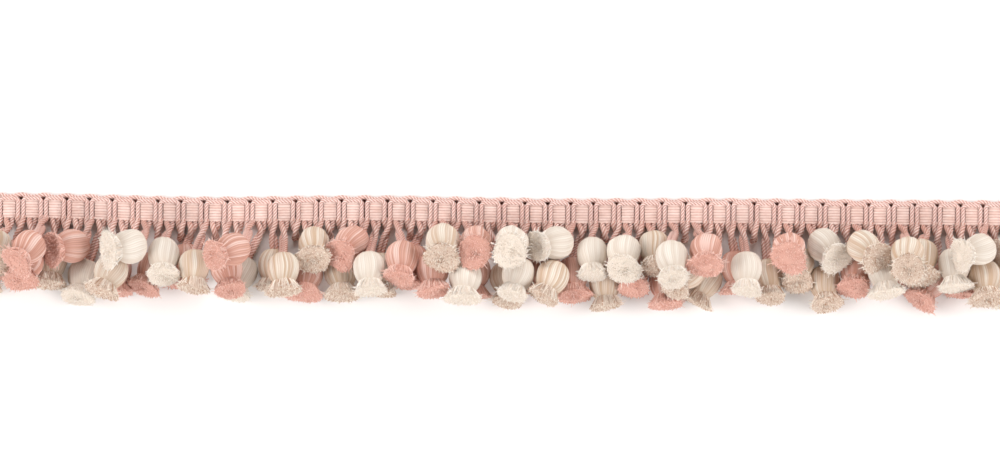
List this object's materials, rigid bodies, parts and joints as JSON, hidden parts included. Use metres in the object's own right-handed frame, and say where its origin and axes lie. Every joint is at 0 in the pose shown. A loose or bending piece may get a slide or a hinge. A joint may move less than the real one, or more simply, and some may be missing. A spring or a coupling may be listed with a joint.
{
  "type": "tassel fringe trim",
  "caption": "Straight length of tassel fringe lying on its back: woven heading with looped cord, and onion tassels in rose, ivory and sand yarn on hanging loops.",
  "frame": {"origin": "middle of the heading tape's flat back, on the surface that the trim lies on", "axes": "+X along the heading, +Y from the fringe towards the scalloped edge, +Z out of the heading's face"},
  "size_m": [0.4625, 0.0498, 0.0349],
  "materials": {
    "rose_cord": "soft twisted cotton and ribbed tape, matt with a slight sheen",
    "rose_yarn": "soft lengthwise yarn with a cut pile skirt",
    "ivory_yarn": "soft lengthwise yarn with a cut pile skirt",
    "sand_yarn": "mixed yarns in cream, tan and pale rose, with a cut pile skirt"
  },
  "bodies": {
    "root": {"heading_tape": "rose_cord", "face_cord": "rose_cord", "edge_cord": "rose_cord", "rose_fringe": "rose_yarn", "ivory_fringe": "ivory_yarn", "sand_fringe": "sand_yarn"}
  },
  "joints": []
}
